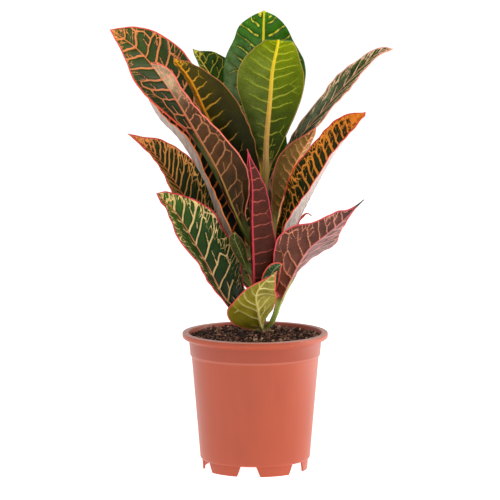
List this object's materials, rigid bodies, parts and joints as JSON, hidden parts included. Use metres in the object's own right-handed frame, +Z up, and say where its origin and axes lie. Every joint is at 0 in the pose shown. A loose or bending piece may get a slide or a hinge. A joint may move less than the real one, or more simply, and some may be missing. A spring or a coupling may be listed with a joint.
{
  "type": "potted croton",
  "caption": "Bushy potted croton: a short stem carries long glossy variegated leaves with bright veins, in soil in a tapered terracotta-coloured plastic nursery pot with a flanged rim and feet",
  "frame": {"origin": "on the pot's axis, level with the soles of its feet", "axes": "+Z up along the pot's axis, -Y towards the viewer of the picture, +X to the viewer's right"},
  "size_m": [0.2514, 0.1366, 0.4071],
  "materials": {
    "pot": "satin",
    "soil": "matte",
    "stem": "matte",
    "leaf_green_orange": "satin",
    "leaf_green_yellow": "satin",
    "leaf_olive": "satin",
    "leaf_brown": "satin",
    "leaf_maroon": "satin"
  },
  "bodies": {
    "root": {"pot": "pot", "soil": "soil", "stem": "stem", "leaf_upper_left": "leaf_green_orange", "leaf_left_folded": "leaf_green_orange", "leaf_dark_front": "leaf_brown", "leaf_long_folded": "leaf_maroon", "leaf_back_top": "leaf_green_yellow", "leaf_back_small": "leaf_green_yellow", "leaf_centre_olive": "leaf_olive", "leaf_right_top": "leaf_green_orange", "leaf_right_brown": "leaf_brown", "leaf_right_mid": "leaf_green_orange", "leaf_right_low": "leaf_maroon", "leaf_front_purple": "leaf_maroon", "leaf_front_low": "leaf_olive", "leaf_left_mid": "leaf_green_orange", "leaf_left_low": "leaf_green_yellow", "leaf_small_green": "leaf_green_yellow", "leaf_small_olive": "leaf_olive", "leaf_small_red": "leaf_maroon", "leaf_rear_left": "leaf_green_orange", "leaf_rear_mid": "leaf_green_yellow", "leaf_rear_low_left": "leaf_green_orange", "leaf_rear_low_right": "leaf_green_yellow"}
  },
  "joints": []
}
